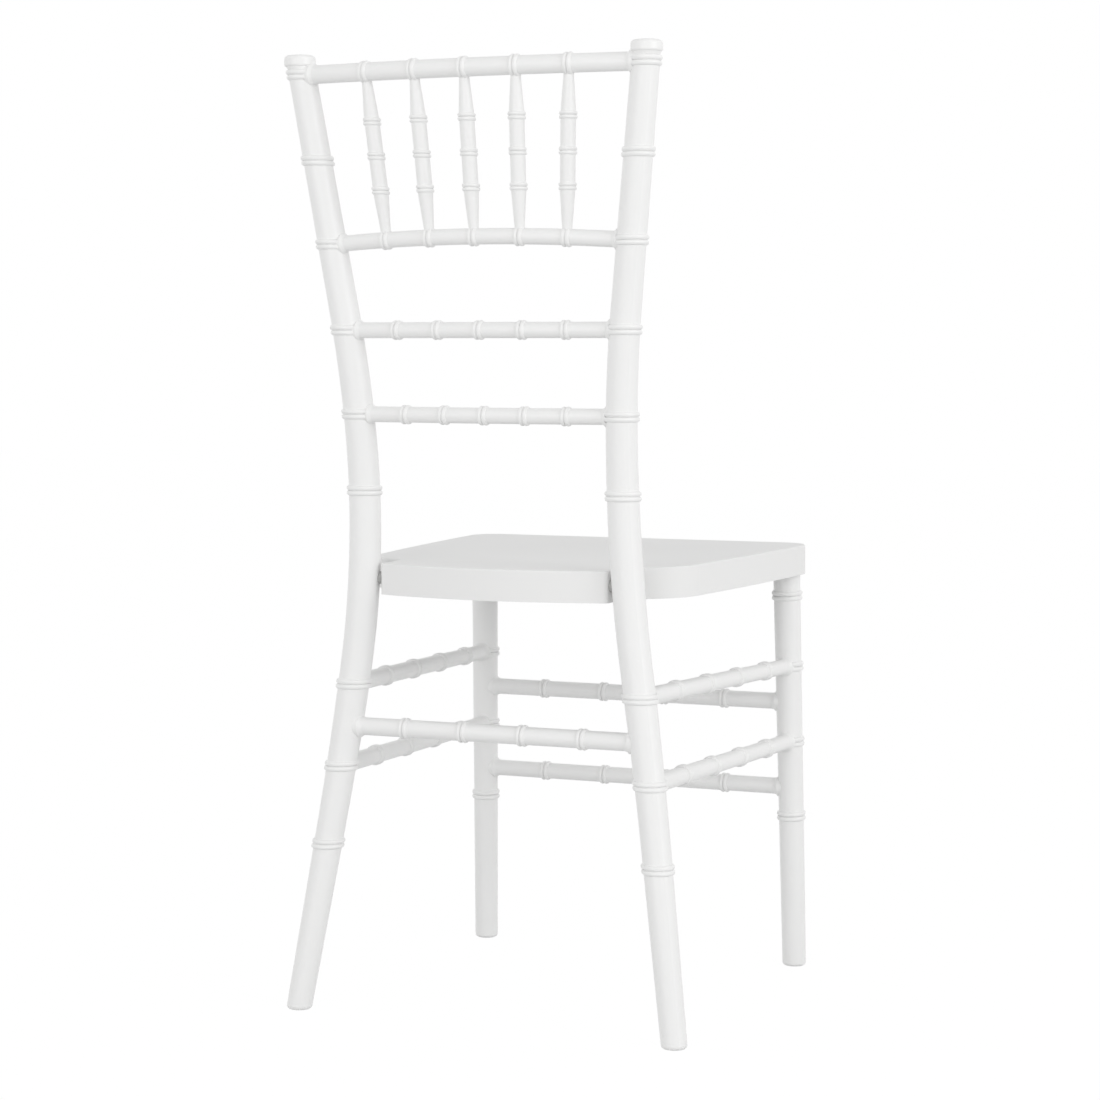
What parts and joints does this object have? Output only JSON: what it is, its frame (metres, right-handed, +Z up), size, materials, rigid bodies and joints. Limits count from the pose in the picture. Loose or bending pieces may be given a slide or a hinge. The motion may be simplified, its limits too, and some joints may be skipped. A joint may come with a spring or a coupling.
{
  "type": "chiavari chair",
  "caption": "White moulded resin chiavari chair with a bamboo-ringed frame, spindle back, flared legs, ringed stretchers and a moulded seat.",
  "frame": {"origin": "on the floor, at the middle of the chair's width and depth", "axes": "+Z up, +X to the sitter's left, -Y to the front of the seat, +Y to the back"},
  "size_m": [0.4186, 0.4446, 0.9218],
  "materials": {
    "frame_resin": "satin",
    "seat_resin": "satin",
    "core_steel": "plain",
    "zinc_steel": "plated",
    "insert_brass": "plain",
    "spacer_plastic": "satin"
  },
  "bodies": {
    "root": {"back_post_left": "frame_resin", "back_post_right": "frame_resin", "crest_rail": "frame_resin", "spindle_rail": "frame_resin", "back_spindle_1": "frame_resin", "back_spindle_2": "frame_resin", "back_spindle_3": "frame_resin", "back_spindle_4": "frame_resin", "back_spindle_5": "frame_resin", "upper_ladder_rail": "frame_resin", "lower_ladder_rail": "frame_resin", "front_leg_left": "frame_resin", "front_leg_right": "frame_resin", "front_stretcher_upper": "frame_resin", "front_stretcher_lower": "frame_resin", "rear_stretcher": "frame_resin", "side_stretcher_left_upper": "frame_resin", "side_stretcher_left_lower": "frame_resin", "side_stretcher_right_upper": "frame_resin", "side_stretcher_right_lower": "frame_resin", "seat": "seat_resin", "back_post_core_left": "core_steel", "back_post_core_right": "core_steel", "front_leg_core_left": "core_steel", "front_leg_core_right": "core_steel", "seat_rear_bolts": "zinc_steel", "seat_rear_washers": "zinc_steel", "front_leg_screws": "zinc_steel", "front_leg_screw_washers": "zinc_steel", "post_thread_inserts": "insert_brass", "seat_spacers": "spacer_plastic"}
  },
  "joints": []
}
